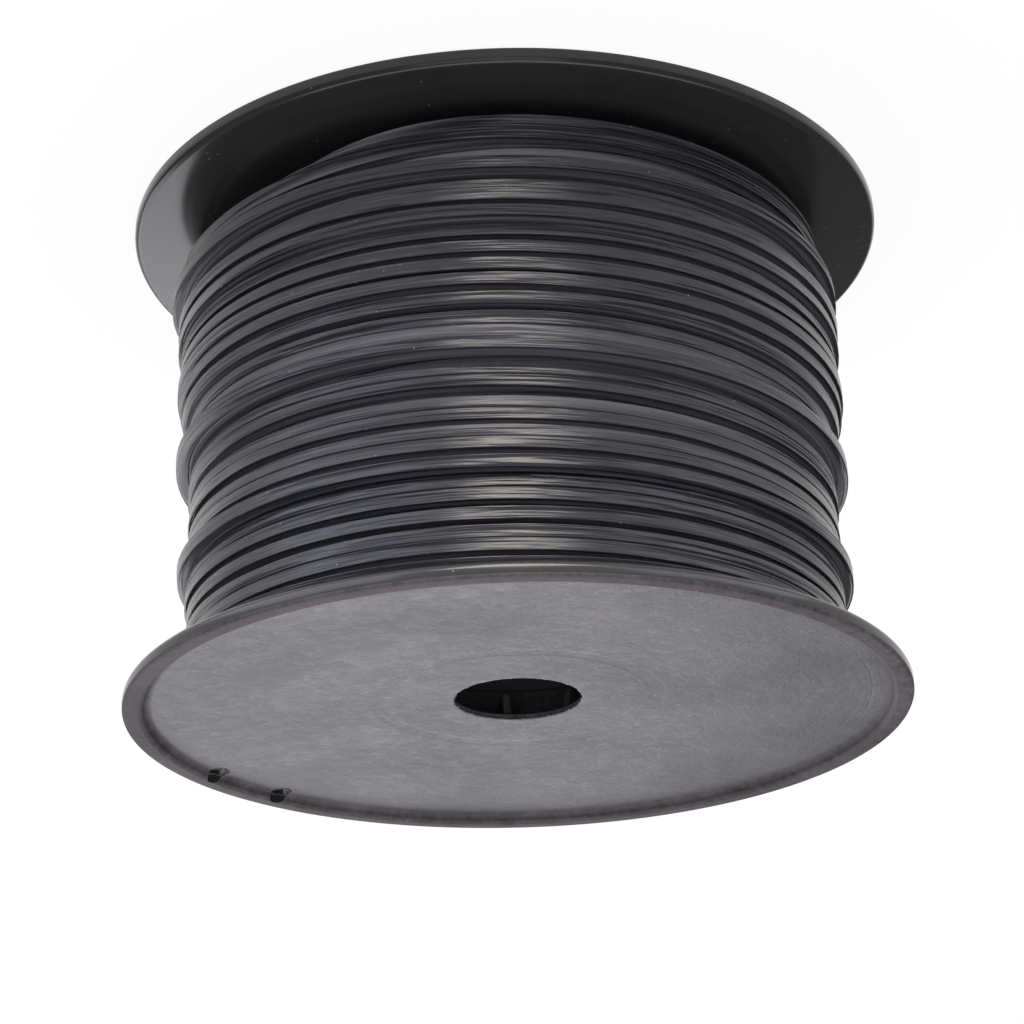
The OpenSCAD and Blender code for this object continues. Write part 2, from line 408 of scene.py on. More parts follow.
class Bench:
    """Blender's own modelling tools, used as by hand."""

    @staticmethod
    def clear() -> None:
        """Leaves edit mode and deselects everything."""
        if bpy.context.object and bpy.context.object.mode != "OBJECT":
            bpy.ops.object.mode_set(mode="OBJECT")
        bpy.ops.object.select_all(action="DESELECT")

    @staticmethod
    def take(piece: bpy.types.Object) -> None:
        """Makes a piece the only one selected, and active."""
        Bench.clear()
        piece.select_set(True)
        bpy.context.view_layer.objects.active = piece

    @staticmethod
    def named(name: str) -> bpy.types.Object:
        """Names the active object and its mesh."""
        piece = bpy.context.object
        piece.name = name
        piece.data.name = name
        return piece

    @staticmethod
    def settle(piece: bpy.types.Object) -> None:
        """Puts a piece's place into its mesh."""
        Bench.take(piece)
        bpy.ops.object.transform_apply(location=True, rotation=True, scale=True)

    @staticmethod
    def apply(piece: bpy.types.Object, kind: str, **settings: Any) -> None:
        """Adds a modifier and applies it."""
        Bench.take(piece)
        modifier = piece.modifiers.new(kind.title(), kind)
        for key, value in settings.items():
            setattr(modifier, key, value)
        bpy.ops.object.modifier_apply(modifier=modifier.name)

    @staticmethod
    def lathe(name: str, outline: Sequence[Point], steps: int) -> bpy.types.Object:
        """Turns an outline round the Z axis.

        Args:
            name: The piece's name.
            outline: Closed outline as (radius, height), in metres.
            steps: Number of steps round.

        Returns:
            The turned piece, with its faces outwards.
        """
        Bench.clear()
        first = Vector((outline[0][0], 0, outline[0][1]))
        bpy.ops.mesh.primitive_plane_add(size=MM, location=first)
        piece = Bench.named(name)
        Bench.settle(piece)
        bpy.ops.object.mode_set(mode="EDIT")
        bpy.ops.mesh.merge(type="CENTER")
        at = first
        for radius, height in outline[1:]:
            to = Vector((radius, 0, height))
            bpy.ops.mesh.extrude_region_move(TRANSFORM_OT_translate={"value": to - at})
            at = to
        bpy.ops.mesh.extrude_region_move(TRANSFORM_OT_translate={"value": first - at})
        bpy.ops.mesh.select_all(action="SELECT")
        bpy.ops.mesh.remove_doubles(threshold=WELD)
        bpy.ops.mesh.select_all(action="SELECT")
        bpy.ops.mesh.spin(
            steps=steps, angle=2 * math.pi, center=(0, 0, 0), axis=(0, 0, 1), dupli=False
        )
        bpy.ops.mesh.select_all(action="SELECT")
        bpy.ops.mesh.remove_doubles(threshold=WELD)
        bpy.ops.mesh.normals_make_consistent(inside=False)
        bpy.ops.object.mode_set(mode="OBJECT")
        return piece

    @staticmethod
    def copy(piece: bpy.types.Object) -> bpy.types.Object:
        """Copies a piece with a mesh of its own."""
        twin = piece.copy()
        twin.data = piece.data.copy()
        bpy.context.scene.collection.objects.link(twin)
        return twin

    @staticmethod
    def ring(piece: bpy.types.Object, count: int, start: float) -> list[bpy.types.Object]:
        """Copies a piece round the Z axis, from a start angle in degrees, and drops the first."""
        made = []
        for k in range(count):
            twin = Bench.copy(piece)
            turn = Matrix.Rotation(math.radians(start + 360 * k / count), 4, "Z")
            twin.data.transform(turn)
            made.append(twin)
        bpy.data.objects.remove(piece)
        return made

    @staticmethod
    def join(pieces: Sequence[bpy.types.Object]) -> None:
        """Joins all the pieces into the first."""
        Bench.take(pieces[0])
        for piece in pieces:
            piece.select_set(True)
        bpy.ops.object.join()

    @staticmethod
    def cut(piece: bpy.types.Object, tool: bpy.types.Object) -> None:
        """Cuts a tool out of a piece and removes the tool."""
        Bench.apply(piece, "BOOLEAN", operation="DIFFERENCE", object=tool, solver="EXACT")
        bpy.data.objects.remove(tool)

    @staticmethod
    def unite(piece: bpy.types.Object, tools: Sequence[bpy.types.Object]) -> None:
        """Makes one solid of a piece and tools that stand clear of one another."""
        Bench.join(tools)
        Bench.apply(piece, "BOOLEAN", operation="UNION", object=tools[0], solver="EXACT")
        bpy.data.objects.remove(tools[0])

    @staticmethod
    def smooth(piece: bpy.types.Object, degrees: float = 35) -> None:
        """Smooths a piece's shading, save where its faces meet at more than this angle."""
        Bench.take(piece)
        bpy.ops.object.shade_smooth_by_angle(angle=math.radians(degrees))


def arc(centre: Point, radius: float, start: float, end: float, steps: int = 10) -> list[Point]:
    """Points along an arc from one angle to another in degrees, without its first point."""
    turns = [math.radians(start + (end - start) * i / steps) for i in range(1, steps + 1)]
    return [(centre[0] + radius * math.cos(a), centre[1] + radius * math.sin(a)) for a in turns]


# ---- Flanges ----


@dataclass
class Flange:
    """One moulded flange with its collar, crush ribs and hub ribs.

    Attributes:
        level: Height of its winding side at the rim.
        way: 1 where its outer face looks up, and -1 where it looks down.
    """

    name: str
    level: float
    way: int
    face: bpy.types.Material
    back: bpy.types.Material
    radius: float = 82.5 * MM
    plate: float = 1.4 * MM
    lean: float = 2.2 * MM
    rim: float = 3.4 * MM
    rim_width: float = 5.8 * MM
    rise_lean: float = 20
    edge: float = 1.5 * MM
    lip: float = 0.8 * MM
    soft: float = 0.3 * MM
    hub_r: float = 33.25 * MM
    bore_r: float = 13.5 * MM
    bore_edge: float = 0.1 * MM
    bore_flat: float = 0.6 * MM
    bore_wall: float = 0.45 * MM
    flash: float = 0.25 * MM
    tie_r: float = 2.4 * MM
    tie_in: float = 5.6 * MM
    tie_half_spread: float = 7.7
    burr_thick: float = 0.22 * MM
    burr_rise: float = 0.28 * MM
    burr_sunk: float = 0.1 * MM
    collar_out: float = 30.0 * MM
    collar_in: float = 28.0 * MM
    collar_h: float = 10 * MM
    hub_ribs: int = 8
    crush_ribs: int = 12
    steps: int = 240

    def outline(self) -> list[Point]:
        """The flange's half section. Its winding side is at 0 by the rim, its outer face up."""
        turn = 90 - self.rise_lean
        rise = (self.rim - self.plate) / 2 / (1 - math.cos(math.radians(turn)))
        face_r = self.radius - self.rim_width
        crest_x = face_r + 2 * rise * math.sin(math.radians(turn))
        out_r = self.radius - self.edge
        hub, low = -self.lean, -self.lean - self.collar_h
        top = self.plate - self.lean
        soft = self.soft
        return (
            [(self.bore_r, hub + soft), (self.bore_r + soft, hub)]
            + [(self.collar_in, hub), (self.collar_in, low + soft), (self.collar_in + soft, low)]
            + [(self.collar_out - soft, low), (self.collar_out, low + soft), (self.collar_out, hub)]
            + [(self.hub_r, hub), (out_r, 0)]
            + arc((out_r, self.edge), self.edge, -90, 0)
            + arc((self.radius - self.lip, self.rim - self.lip), self.lip, 0, 90)
            + [(crest_x, self.rim)]
            + arc((crest_x, self.rim - rise), rise, 90, 90 + turn)
            + arc((face_r, self.plate + rise), rise, turn - 90, -90)
            + [(self.hub_r, top), (self.bore_r + self.bore_flat, top)]
            + [(self.bore_r + self.bore_edge, top), (self.bore_r, top - self.bore_edge)]
            + [(self.bore_r, top - self.bore_wall)]
        )

    def rib(
        self, start: float, end: float, height: float, thick: float, taper: float
    ) -> bpy.types.Object:
        """Models one rib that stands on the winding side, along +X.

        Args:
            start: Radius of its inner end.
            end: Radius of its outer end.
            height: How far it stands off the plate.
            thick: Its thickness.
            taper: How far its free inner corner slopes back.

        Returns:
            The rib, still to be copied round.
        """
        Bench.clear()
        hub = self.level - self.way * self.lean
        sunk = self.soft
        at = ((start + end) / 2, 0, hub - self.way * (height - sunk) / 2)
        bpy.ops.mesh.primitive_cube_add(size=1, location=at)
        rib = Bench.named("rib")
        rib.scale = (end - start, thick, height + sunk)
        Bench.settle(rib)
        for corner in rib.data.vertices:
            if corner.co.x < at[0] and self.way * (corner.co.z - at[2]) < 0:
                corner.co.x += taper
        Bench.apply(rib, "BEVEL", width=0.2 * MM, segments=2, limit_method="ANGLE")
        return rib

    def ribs(self) -> list[bpy.types.Object]:
        """All the hub ribs and crush ribs, each copied from the first of its kind."""
        hub_rib = self.rib(
            start=self.bore_r + 3 * MM,
            end=self.collar_in + MM,
            height=6 * MM,
            thick=1.6 * MM,
            taper=1.5 * MM,
        )
        made = Bench.ring(hub_rib, self.hub_ribs, 0)
        crush_rib = self.rib(
            start=self.collar_out - 0.2 * MM,
            end=self.collar_out + 0.23 * MM,
            height=self.collar_h,
            thick=1.2 * MM,
            taper=0,
        )
        return made + Bench.ring(crush_rib, self.crush_ribs, 180 / self.crush_ribs)

    def tie(self, angle: float) -> Vector:
        """Middle of the tie hole at this angle, at the height of the origin."""
        reach = self.radius - self.tie_in
        return Vector((reach * math.cos(angle), reach * math.sin(angle), 0))

    def burr(self, angle: float) -> bpy.types.Object:
        """Models the torn skirt of plastic round one tie hole."""
        Bench.clear()
        middle = self.tie(angle)
        top = self.level + self.way * (self.plate - self.burr_sunk)
        bpy.ops.mesh.primitive_torus_add(
            major_segments=72,
            minor_segments=8,
            major_radius=self.tie_r,
            minor_radius=self.burr_thick,
            location=(middle.x, middle.y, top),
        )
        skirt = Bench.named("burr")
        Bench.settle(skirt)
        for point in skirt.data.vertices:
            away = point.co - middle
            around = math.atan2(away.y, away.x) - angle
            torn = math.sin(7 * around + 1) * math.sin(3 * around) + 0.6 * math.sin(17 * around)
            share = 0.5 + 0.5 * math.sin(around - 0.4)
            point.co.z += self.way * self.burr_rise * share * torn
            pull = 1 - 0.16 * share * max(0.0, torn)
            point.co.x = middle.x + away.x * pull
            point.co.y = middle.y + away.y * pull
        return skirt

    def fray(self, piece: bpy.types.Object) -> None:
        """Pulls the edge of the arbor hole inwards here and there, as flash left by the mould."""
        edge_z = self.level + self.way * (self.plate - self.lean - self.bore_edge)
        near = self.bore_edge / 2
        for point in piece.data.vertices:
            reach = math.hypot(point.co.x, point.co.y)
            if abs(reach - self.bore_r) < near and abs(point.co.z - edge_z) < near:
                a = math.atan2(point.co.y, point.co.x)
                torn = math.sin(23 * a) * math.sin(9 * a + 1) + 0.7 * math.sin(57 * a + 2)
                pull = 1 - self.flash / self.bore_r * max(0.0, torn + 0.2)
                point.co.x *= pull
                point.co.y *= pull

    def build(self) -> bpy.types.Object:
        """Models the flange in its place and dresses it."""
        outline = [(r, self.level + self.way * z) for r, z in self.outline()]
        piece = Bench.lathe(self.name, outline, self.steps)
        self.fray(piece)
        Bench.unite(piece, self.ribs())
        angles = [math.radians(side * self.tie_half_spread) for side in (-1, 1)]
        for angle in angles:
            at = self.tie(angle) + Vector((0, 0, self.level))
            Bench.clear()
            bpy.ops.mesh.primitive_cylinder_add(
                vertices=48, radius=self.tie_r, depth=20 * MM, location=at
            )
            drill = Bench.named("drill")
            Bench.settle(drill)
            Bench.cut(piece, drill)
        Bench.join([piece] + [self.burr(angle) for angle in angles])
        Bench.smooth(piece)
        piece.data.materials.clear()
        piece.data.materials.append(self.face)
        piece.data.materials.append(self.back)
        # Faces away from the hub that do not look outwards take the darker back copy: painted
        # shade.
        for side in piece.data.polygons:
            by_hub = math.hypot(side.center.x, side.center.y) < self.hub_r
            side.material_index = 0 if by_hub or side.normal.z * self.way > 0.2 else 1
        return piece


@dataclass
class Barrel:
    """The plain tube between the flanges."""

    finish: bpy.types.Material
    radius: float = 32.25 * MM
    wall: float = 2 * MM
    bottom: float = 5.6 * MM
    top: float = 106.8 * MM
    soft: float = 0.3 * MM
    steps: int = 160

    def build(self) -> bpy.types.Object:
        """Models the tube in its place and dresses it."""
        inner, outer, soft = self.radius - self.wall, self.radius, self.soft
        outline = [(inner, self.bottom + soft), (inner + soft, self.bottom)]
        outline += [(outer - soft, self.bottom), (outer, self.bottom + soft)]
        outline += [(outer, self.top - soft), (outer - soft, self.top)]
        outline += [(inner + soft, self.top), (inner, self.top - soft)]
        piece = Bench.lathe("barrel_tube", outline, self.steps)
        Bench.smooth(piece)
        piece.data.materials.append(self.finish)
        return piece


# ---- Winding ----


class Lie(Enum):
    """How a turn of the cord lies, as its roll in degrees."""

    FLAT = 0.0
    EDGE = 90.0


@dataclass(frozen=True)
class Turn:
    """How one turn of the outer layer lies opposite the ends of the cord.

    Attributes:
        height: Height of its middle, in millimetres.
        lie: Whether it lies flat or on edge.
        lean: How far it leans from that, in degrees.
        deep: How deep it lies below the seat of the others, in millimetres.
    """

    height: float
    lie: Lie
    lean: float = 0.0
    deep: float = 0.0


@dataclass(frozen=True)
class Stray:
    """A place where the cord leaves its even lay.

    Attributes:
        at: Its middle on the cord, in turns.
        spread: How far it reaches to each side, in turns.
        up: How far the cord rises there, in millimetres.
        out: How far it stands off there, in millimetres.
        roll: How far it rolls there, in degrees.
    """

    at: float
    spread: float
    up: float = 0.0
    out: float = 0.0
    roll: float = 0.0

    def share(self, s: Array) -> Array:
        """How much of it shows at places s, from 0 to 1."""
        return np.exp(-(((s - self.at) / self.spread) ** 2))


TURNS = (
    Turn(10.3, Lie.FLAT, -2),
    Turn(20.0, Lie.EDGE, 0),
    Turn(23.5, Lie.EDGE, -13, 2.4),
    Turn(27.0, Lie.EDGE, 0),
    Turn(31.2, Lie.EDGE, 8),
    Turn(35.1, Lie.EDGE, 9, 0.8),
    Turn(38.9, Lie.EDGE, 8, 0.4),
    Turn(42.5, Lie.EDGE, -1),
    Turn(45.7, Lie.EDGE, -2, 0.6),
    Turn(49.0, Lie.EDGE, -12, 1.2),
    Turn(54.2, Lie.FLAT, -13, 0.6),
    Turn(59.5, Lie.EDGE, 0),
    Turn(65.4, Lie.FLAT, 8, 0.3),
    Turn(72.7, Lie.FLAT, 9, 0.3),
    Turn(78.7, Lie.FLAT, 8, 0.3),
    Turn(84.2, Lie.EDGE, -8, 0.6),
    Turn(89.1, Lie.FLAT, 0),
    Turn(94.1, Lie.EDGE, -4, 2.8),
    Turn(99.4, Lie.FLAT, 1),
    Turn(105.2, Lie.EDGE, -10),
)

STRAYS = (
    Stray(0.34, 0.09, 5.0, 0.0, 78),
    Stray(1.24, 0.07, 0.0, 1.7, 0),
)


@dataclass(frozen=True)
class Route:
    """Path of the outer layer. Places on the cord are counted in turns.

    Attributes:
        seat_r: Radius that the turns rest on.
        sway: How far each turn rises and sinks on its way round.
        calm: Length at each end of the cord where nothing strays, in turns.
        roll_share: Share of a turn in which the cord rolls from one lie to the next.
    """

    turns_lie: tuple[Turn, ...] = TURNS
    strays: tuple[Stray, ...] = STRAYS
    width: float = 5.4 * MM
    thick: float = 2.7 * MM
    side_round: float = 0.8 * MM
    seat_r: float = 66.9 * MM
    sway: float = 1.8 * MM
    calm: float = 0.3
    roll_share: float = 0.5
    start_z: float = 7.7 * MM
    end_z: float = 106.6 * MM
    start_angle: float = 53.0

    @property
    def turns(self) -> int:
        """Number of turns."""
        return len(self.turns_lie)

    def slots(self) -> Array:
        """Heights of the turns, with half a turn more at each end."""
        z = np.array([turn.height for turn in self.turns_lie]) * MM
        return np.concatenate([[2 * self.start_z - z[0]], z, [2 * self.end_z - z[-1]]])

    def between(self, listed: Sequence[float], s: Array) -> Array:
        """A value listed for each turn, changing from one to the next as the cord rolls."""
        values = np.array(listed)
        k = np.clip(np.round(s), 1, self.turns - 1).astype(int)
        return values[k - 1] + (values[k] - values[k - 1]) * ease((s - k) / self.roll_share + 0.5)

    def at(self, s: Array) -> tuple[Array, Array, Array]:
        """Radius, height and roll in degrees of the cord's middle at places s."""
        slots = self.slots()
        k = np.clip(np.floor(s + 0.5), 0, self.turns).astype(int)
        z = slots[k] + (slots[k + 1] - slots[k]) * (s + 0.5 - k)
        hold = np.sin(np.pi * s / self.turns)
        z = z + self.sway * hold * np.sin(np.radians(360 * s - 180))
        still = ease(s / self.calm) * ease((self.turns - s) / self.calm)
        roll = self.between([turn.lie.value for turn in self.turns_lie], s)
        lean = self.between([turn.lean for turn in self.turns_lie], s) * np.sin(np.pi * s) ** 2
        lean = lean + 1.5 * np.sin(0.9 * s + 0.5) + 2.5 * np.sin(17.3 * s) * np.sin(6.1 * s)
        for stray in self.strays:
            share = stray.share(s)
            z = z + stray.up * MM * share * still
            roll = roll + stray.roll * share * still
        roll = roll + lean * still
        a = np.radians(roll)
        lie = np.maximum(
            self.width / 2 * np.abs(np.sin(a)),
            self.thick / 2 * np.abs(np.cos(a))
            + (self.width / 2 - self.side_round) * np.abs(np.sin(a)),
        )
        r = self.seat_r + lie
        r = r - self.between([turn.deep for turn in self.turns_lie], s) * MM
        r = r + still * 0.15 * MM * (1 + np.sin(4.3 * s + 1) * np.sin(11.7 * s))
        z = z + still * 0.08 * MM * np.sin(8.9 * s + 2) * np.sin(13.1 * s)
        for stray in self.strays:
            r = r + stray.out * MM * stray.share(s)
        return r, z, roll


def twin_section() -> list[Point]:
    """Section of the flat twin cord as (out, up), with a groove down each flat side."""
    quarter = [(1.12, 0.0), (1.32, 0.16), (1.35, 0.3), (1.35, 2.42), (1.33, 2.56)]
    quarter += [(1.28, 2.64), (1.19, 2.69), (1.06, 2.7)]
    upper = quarter + [(-x, y) for x, y in reversed(quarter)]
    whole = upper + [(x, -y) for x, y in reversed(upper[1:-1])]
    return [(x * MM, y * MM) for x, y in whole]


def run_along(line: Array) -> Array:
    """Length along a line up to each of its points."""
    steps = np.linalg.norm(np.diff(line, axis=0), axis=1)
    return np.concatenate([[0], np.cumsum(steps)])


def tube(
    name: str,
    section: Sequence[Point],
    middles: Array,
    out: Array,
    up: Array,
    covered: Array | None = None,
    begun: float = 0.0,
) -> bpy.types.Object:
    """Sweeps a section along a line as one closed tube.

    Args:
        name: The piece's name.
        section: Section as (out, up), in metres.
        middles: Points of the line.
        out: Direction of the section's first axis at each point.
        up: Direction of its second axis at each point.
        covered: How deep the whole cord lies below others at each point, if it does.
        begun: Where its UV map starts along it, so that lines run on from piece to piece.

    Returns:
        The tube, with a UV map that runs along it (u) and round it (v), in metres, and a
        "sunk" attribute that says how far each point lies below the outermost of its ring.
    """
    shape = np.array(section)
    sides, rings = len(shape), len(middles)
    points = (
        middles[:, None, :]
        + shape[None, :, :1] * out[:, None, :]
        + shape[None, :, 1:] * up[:, None, :]
    )
    i, j = np.meshgrid(np.arange(rings - 1), np.arange(sides), indexing="ij")
    a, b = i * sides + j, i * sides + (j + 1) % sides
    quads = np.stack([a, b, b + sides, a + sides], axis=-1).reshape(-1, 4)
    first_cap = list(range(sides - 1, -1, -1))
    last_cap = [(rings - 1) * sides + k for k in range(sides)]
    faces = quads.tolist() + [first_cap, last_cap]
    mesh = bpy.data.meshes.new(name)
    mesh.from_pydata(points.reshape(-1, 3).tolist(), [], faces)
    along = begun + run_along(middles)
    girth = np.linalg.norm(np.roll(shape, -1, axis=0) - shape, axis=1)
    round_ = np.concatenate([[0], np.cumsum(girth)])
    uv = np.zeros((len(mesh.loops), 2))
    ii, jj = i.reshape(-1), j.reshape(-1)
    corners = [
        np.stack([along[ii + on], round_[jj + about]], -1)
        for on, about in ((0, 0), (0, 1), (1, 1), (1, 0))
    ]
    uv[: len(quads) * 4] = np.stack(corners, axis=1).reshape(-1, 2)
    uv[len(quads) * 4 :] = np.tile(shape, (2, 1))
    layer = mesh.uv_layers.new(name="UVMap")
    layer.data.foreach_set("uv", uv.reshape(-1))
    reach = np.linalg.norm(points[:, :, :2], axis=2)
    depth = reach.max(axis=1, keepdims=True) - reach
    if covered is not None:
        depth = depth + covered[:, None]
    sunk = mesh.attributes.new("sunk", "FLOAT", "POINT")
    sunk.data.foreach_set("value", depth.reshape(-1))
    piece = bpy.data.objects.new(name, mesh)
    bpy.context.scene.collection.objects.link(piece)
    Bench.smooth(piece, 50)
    Bench.apply(piece, "WEIGHTED_NORMAL", keep_sharp=True)
    return piece


def frames(r: Array, z: Array, roll: Array, angle: Array) -> tuple[Array, Array, Array]:
    """Middles and section axes of a cord that runs round the Z axis.

    Args:
        r: Radius of its middle.
        z: Height of its middle.
        roll: How far it is rolled, in degrees.
        angle: Angle round the axis, in degrees.

    Returns:
        Its middles, and the directions of its section's two axes.
    """
    turn = np.radians(angle)
    radial = np.stack([np.cos(turn), np.sin(turn), 0 * turn], -1)
    upward = np.array([0, 0, 1.0])
    lean = np.radians(roll)[:, None]
    middles = radial * r[:, None] + upward * z[:, None]
    out = radial * np.cos(lean) - upward * np.sin(lean)
    return middles, out, radial * np.sin(lean) + upward * np.cos(lean)


def facing(out: Vector, up: Vector) -> Matrix:
    """The turn that brings X to one direction and Y to the other."""
    return Matrix((out, up, out.cross(up))).transposed().to_4x4()


def onward(angle: float) -> Vector:
    """The way that the cord runs at an angle round the axis, in degrees."""
    return Vector((math.sin(math.radians(angle)), -math.cos(math.radians(angle)), 0))


@dataclass
class Winding:
    """The cord on the spool, with its outer layer, the layer below it and its cut end.

    Attributes:
        straight: Length in which the outer layer leaves its last turn.
        pressed: Heights at which deep turns press on the layer below, and how far it gives.
        climb: Share of a turn in which the layer below climbs into the outer layer.
        core_r: Radius of the layers further in.
        flange_slope: How fast a flange falls away towards the hub.
    """

    finish: bpy.types.Material
    copper: bpy.types.Material
    route: Route = field(default_factory=Route)
    outer_rings: int = 108
    under_rings: int = 72
    straight: float = 5.4 * MM
    end_length: float = 8 * MM
    under_turns: int = 17
    under_r: float = 64.9 * MM
    pressed: tuple[Span, ...] = (
        (23.5 * MM, 2.7 * MM),
        (36.0 * MM, 0.5 * MM),
        (49.0 * MM, 0.8 * MM),
        (94.2 * MM, 2.7 * MM),
    )
    pressed_wide: float = 5 * MM
    # Depth added to the layer below, save where it climbs, so that it takes the painted fill light
    painted_fill_deep: float = 2 * MM
    under_top: float = 105.2 * MM
    climb: float = 0.09
    hollow_r: float = 32.3 * MM
    core_r: float = 60.7 * MM
    core_bottom: float = 5.65 * MM
    core_top: float = 106.75 * MM
    core_hub_r: float = 33.25 * MM
    core_steps: int = 120
    ridges: int = 17
    ridge_depth: float = 0.6 * MM
    ridge_foot: Span = (0.05 * MM, 0.5 * MM)
    flange_slope: float = 2.2 / 47.75
    end_hole_r: float = 0.61 * MM
    end_hole_depth: float = 4 * MM
    strand_r: float = 0.11 * MM
    strand_length: float = 3 * MM

    def outer_line(self) -> tuple[Array, Array, Array]:
        """Middles and section axes of the outer layer, with its last stretch straight."""
        route = self.route
        s = np.linspace(0, route.turns, route.turns * self.outer_rings + 1)
        r, z, roll = route.at(s)
        middles, out, up = frames(r, z, roll, route.start_angle - 360 * s)
        last = middles[-1] + np.array(onward(route.start_angle)) * self.straight
        middles = np.concatenate([middles, [(middles[-1] + last) / 2, last]])
        out = np.concatenate([out, out[-1:], out[-1:]])
        up = np.concatenate([up, up[-1:], up[-1:]])
        return middles, out, up

    def outer(self) -> bpy.types.Object:
        """Sweeps the outer layer along its route."""
        piece = tube("outer_layer_cord", twin_section(), *self.outer_line())
        piece.data.materials.append(self.finish)
        return piece

    def under(self) -> bpy.types.Object:
        """Sweeps the layer below, down to the flange and up into the outer layer's start."""
        first_r, first_z, first_roll = (value[0] for value in self.route.at(np.array([0.0])))
        s = np.linspace(0, self.under_turns, self.under_turns * self.under_rings + 1)
        z = self.under_top + (first_z - self.under_top) * s / self.under_turns
        rise = ease((s - self.under_turns + self.climb) / self.climb)
        wobble = 0.12 * MM * np.sin(5.1 * s) * np.sin(1.7 * s + 1) * (1 - rise)
        r = self.under_r + (first_r - self.under_r) * rise + wobble
        for height, dip in self.pressed:
            r = r - dip * np.exp(-(((z - height) / self.pressed_wide) ** 4))
        roll = first_roll * rise + 3 * np.sin(3.3 * s) * (1 - rise)
        middles, out, up = frames(r, z, roll, self.route.start_angle - 360 * s)
        piece = tube(
            "under_layer_cord",
            twin_section(),
            middles,
            out,
            up,
            covered=self.painted_fill_deep * (1 - rise),
            begun=-run_along(middles)[-1],
        )
        piece.data.materials.append(self.finish)
        return piece

    def core(self) -> bpy.types.Object:
        """Turns the layers further in, ridged as the cord lies in them."""
        slope = self.flange_slope * (self.core_r - self.core_hub_r)
        low, high = self.core_bottom - slope, self.core_top + slope
        pitch = (high - low) / self.ridges
        valley, crest = self.core_r - self.ridge_depth, self.core_r
        start, end = self.ridge_foot
        outline = [(self.hollow_r, self.core_bottom), (self.core_hub_r, self.core_bottom)]
        for k in range(self.ridges):
            foot = low + k * pitch
            outline += [(valley, foot + start), (crest, foot + end)]
            outline += [(crest, foot + pitch - end), (valley, foot + pitch - start)]
        outline += [(self.core_hub_r, self.core_top), (self.hollow_r, self.core_top)]
        piece = Bench.lathe("inner_windings", outline, self.core_steps)
        Bench.smooth(piece)
        piece.data.materials.append(self.finish)
        return piece

    def end_frame(self) -> tuple[Vector, Vector, Vector, Vector]:
        """Start of the cut end, the way it runs, and its section's two axes."""
        r, z, roll = self.route.at(np.array([float(self.route.turns)]))
        middles, out, up = frames(r, z, roll, np.array([self.route.start_angle]))
        ahead = onward(self.route.start_angle)
        return Vector(middles[0]) + ahead * self.straight, ahead, Vector(out[0]), Vector(up[0])

    def cut_end(self) -> bpy.types.Object:
        """Sweeps the cut end and bores it for its two cores."""
        start, ahead, out, up = self.end_frame()
        runs = np.linspace(0, 1, 9)
        middles = np.array([start + ahead * self.end_length * x for x in runs])
        axes = [np.array([axis] * len(runs)) for axis in (out, up)]
        begun = run_along(self.outer_line()[0])[-1]
        piece = tube("cut_end_cord", twin_section(), middles, *axes, begun=begun)
        turn = facing(out, up)
        for side in (-1, 1):
            Bench.clear()
            bpy.ops.mesh.primitive_cylinder_add(
                vertices=32, radius=self.end_hole_r, depth=self.end_hole_depth
            )
            drill = Bench.named("drill")
            at = start + ahead * self.end_length + up * side * self.route.width / 4
            drill.matrix_world = Matrix.Translation(at) @ turn
            Bench.settle(drill)
            Bench.cut(piece, drill)
        piece.data.materials.append(self.finish)
        return piece

    def strands(self) -> bpy.types.Object:
        """Lays the copper strands of both cores, each copied from the first."""
        start, ahead, out, up = self.end_frame()
        turn = facing(out, up)
        Bench.clear()
        length = self.strand_length
        bpy.ops.mesh.primitive_cylinder_add(vertices=10, radius=self.strand_r, depth=length)
        first = Bench.named("strand")
        Bench.apply(first, "BEVEL", width=0.03 * MM, segments=1, limit_method="ANGLE")
        made = []
        for side in (-1, 1):
            for ring, count in ((0, 1), (1, 6), (2, 12)):
                for k in range(count):
                    a = math.radians(360 * k / count + 15 * ring)
                    reach = ring * self.strand_r * 2.05
                    proud = 0.35 * MM + 0.12 * MM * math.sin(7.3 * k + 2.1 * ring + side)
                    at = start + ahead * (self.end_length + proud - length / 2)
                    at = at + out * reach * math.cos(a)
                    at = at + up * (side * self.route.width / 4 + reach * math.sin(a))
                    strand = Bench.copy(first)
                    strand.data.transform(Matrix.Translation(at) @ turn)
                    made.append(strand)
        bpy.data.objects.remove(first)
        Bench.join(made)
        piece = made[0]
        piece.name = piece.data.name = "copper_strands"
        Bench.smooth(piece)
        piece.data.materials.append(self.copper)
        return piece


# ---- Studio ----


@dataclass(frozen=True)
class Lamp:
    """One soft rectangular lamp.

    Attributes:
        at: Its place, counted to the camera's side, towards it and up, from the spool's foot.
        size: Its width and length.
        power: Its power in watts.
        tint: Its colour.
        upward: Whether it shines straight up, or else at the spool.
    """

    name: str
    at: tuple[float, float, float]
    size: Span
    power: float
    tint: tuple[float, float, float] = (1, 1, 1)
    upward: bool = False


WARM = (1, 0.94, 0.84)
COOL = (0.8, 0.87, 1)

LAMPS = (
    Lamp("overhead", (0, 0, 0.9), (0.9, 0.9), 6),
    Lamp("low_front", (0, 0.23, 0.003), (0.13, 0.13), 0.62, WARM, upward=True),
    Lamp("low_side", (0.26, 0.2, 0.003), (0.28, 0.3), 0.7, COOL, upward=True),
    Lamp("low_far_side", (-0.26, 0.2, 0.003), (0.2, 0.3), 0.45, COOL, upward=True),
    Lamp("fill", (0.05, 0.76, 0.42), (0.6, 0.6), 1.0),
    Lamp("back", (0.36, -0.72, 0.375), (1.1, 0.4), 3.4, (1, 0.97, 1.02)),
)


